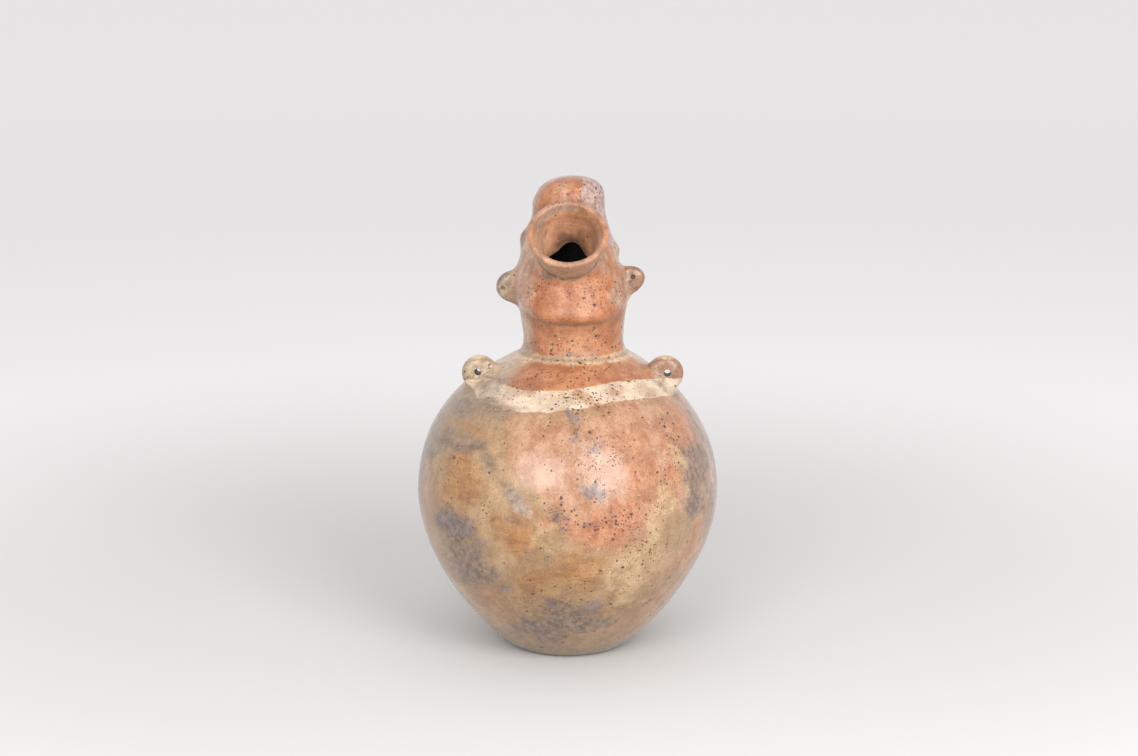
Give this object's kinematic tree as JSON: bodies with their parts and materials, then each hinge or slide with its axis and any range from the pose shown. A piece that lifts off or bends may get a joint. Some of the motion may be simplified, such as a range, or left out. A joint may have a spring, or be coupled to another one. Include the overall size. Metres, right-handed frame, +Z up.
{
  "type": "figural spout vessel",
  "caption": "Egg-shaped pottery jar on a small flat base, its neck shaped as a capped head with pierced ears, a flaring trumpet spout behind the head and pierced lugs on the shoulder.",
  "frame": {"origin": "centre of the flat base, under the middle of the round body", "axes": "+Z up; the spout leans out towards -Y; the figure's face looks to +Y; +X is to the right of someone who faces the spout"},
  "size_m": [0.201, 0.201, 0.3141],
  "materials": {
    "burnished_clay": "unglazed fired clay, hand-burnished to a soft semi-gloss, orange slip with a cream band, mottled buff and grey by the firing, dark mineral specks"
  },
  "bodies": {
    "root": {"figural_spout_vessel_jar": "burnished_clay", "figural_spout_vessel_head": "burnished_clay"}
  },
  "joints": []
}
